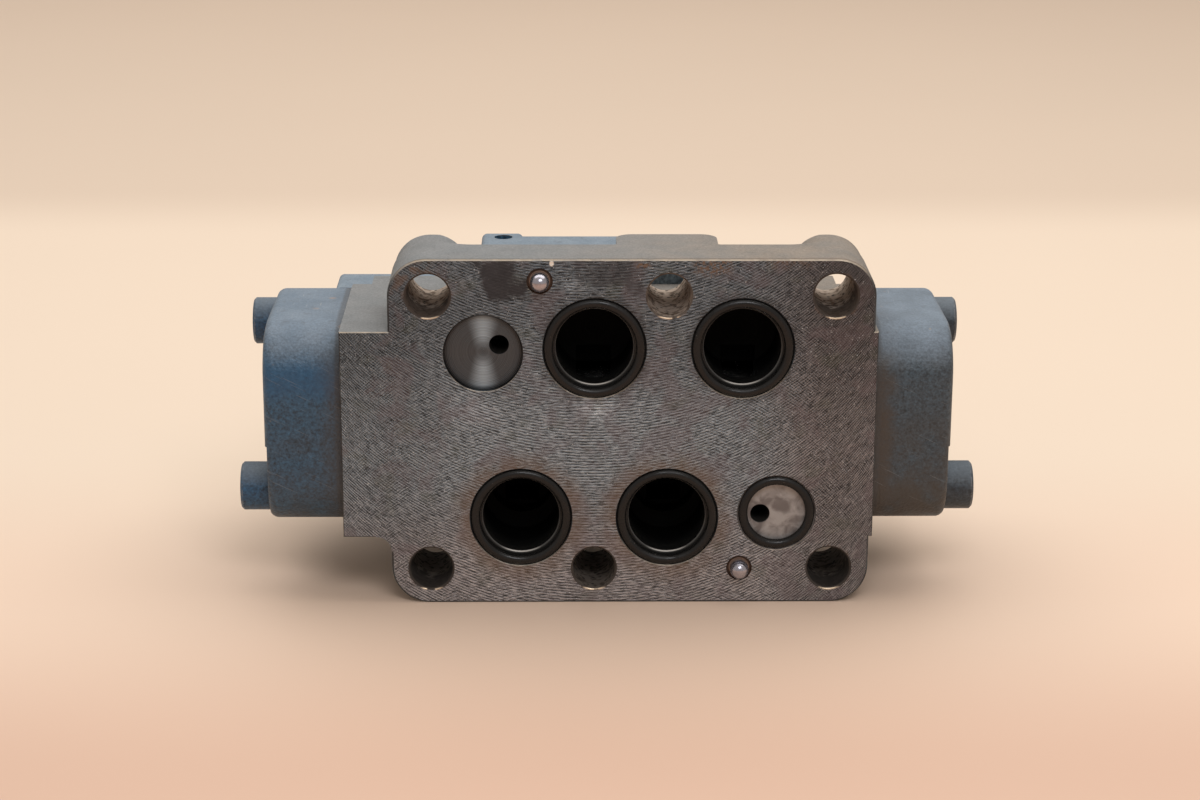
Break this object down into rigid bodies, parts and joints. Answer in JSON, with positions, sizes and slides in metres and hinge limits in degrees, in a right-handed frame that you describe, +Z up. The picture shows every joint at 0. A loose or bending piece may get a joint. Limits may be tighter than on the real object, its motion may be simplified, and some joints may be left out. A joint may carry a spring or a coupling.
{
  "type": "directional control valve",
  "caption": "Hydraulic directional spool valve main stage with a ported mounting face, blue end covers and a pilot deck.",
  "frame": {"origin": "centre of the four corner bolt holes, on the mounting face", "axes": "-Y out of the mounting face, +X along the spool towards the T port side, +Z up as the valve lies on its long side"},
  "size_m": [0.2421, 0.1408, 0.116],
  "materials": {
    "cast_housing": "milled mounting face, fine as-cast sides with thin paint overspray",
    "blue_paint": "satin blue paint over orange-peel casting",
    "painted_screws": "satin blue paint over socket head screws",
    "seal_rubber": "black, oily",
    "ground_steel": "ground",
    "spring_steel": "oil tempered wire",
    "pin_steel": "polished dome",
    "zinc_steel": "zinc plated",
    "dark_screws": "black oxide",
    "name_plate_metal": "brushed"
  },
  "bodies": {
    "valve_body": {"main_housing": "cast_housing", "left_centering_spring": "spring_steel", "right_centering_spring": "spring_steel", "left_end_cover": "blue_paint", "right_end_cover": "blue_paint", "left_cover_seal": "seal_rubber", "right_cover_seal": "seal_rubber", "left_cover_screws": "painted_screws", "right_cover_screws": "painted_screws", "port_seal_p": "seal_rubber", "port_seal_t": "seal_rubber", "port_seal_a": "seal_rubber", "port_seal_b": "seal_rubber", "pilot_seal_x": "seal_rubber", "upper_locating_pin": "pin_steel", "lower_locating_pin": "pin_steel", "housing_gallery_plugs": "zinc_steel", "pilot_adapter": "blue_paint", "adapter_screws": "dark_screws", "adapter_gallery_plugs": "zinc_steel", "adapter_seals": "seal_rubber", "interface_cover_plate": "blue_paint", "interface_plate_screws": "dark_screws", "interface_seals": "seal_rubber", "blank_name_plate": "name_plate_metal", "name_plate_rivets": "name_plate_metal"},
    "spool_group": {"main_spool": "ground_steel", "left_spring_seat": "ground_steel", "right_spring_seat": "ground_steel"}
  },
  "joints": [
    {"name": "spool_slide", "type": "slide", "parent": "valve_body", "child": "spool_group", "axis": [1, 0, 0], "range_m": [-0.0085, 0.0085], "stiffness_N_per_m": 9000, "deforming": ["left_centering_spring", "right_centering_spring"]}
  ]
}
